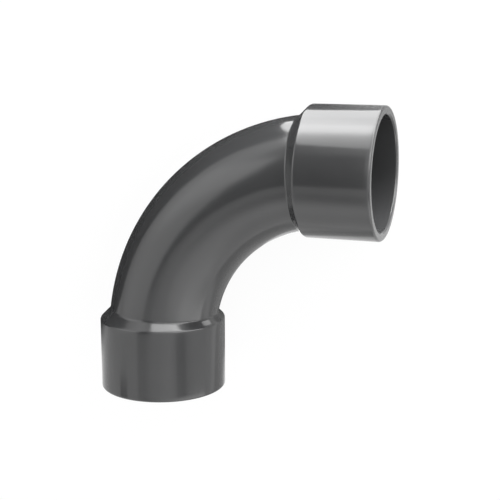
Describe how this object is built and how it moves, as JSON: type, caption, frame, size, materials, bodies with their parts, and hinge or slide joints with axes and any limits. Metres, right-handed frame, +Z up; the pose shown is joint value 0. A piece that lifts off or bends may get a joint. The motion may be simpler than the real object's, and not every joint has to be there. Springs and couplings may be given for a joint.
{
  "type": "pvc pressure elbow",
  "caption": "Swept right-angle elbow for PVC-U pressure pipe, with a plain solvent-cement socket at each end.",
  "frame": {"origin": "centre of the footprint's bounding box, on the floor that the elbow lies on", "axes": "+Z up from the floor. One socket opens towards +X and the other towards -Y, each raised by 8.4 degrees, because the elbow lies tipped by 12 degrees onto the outside of its bend, as it comes to rest."},
  "size_m": [0.1724, 0.1724, 0.0779],
  "materials": {
    "pvc": "smooth dark grey moulded PVC-U, semi-gloss"
  },
  "bodies": {
    "root": {"elbow": "pvc"}
  },
  "joints": []
}
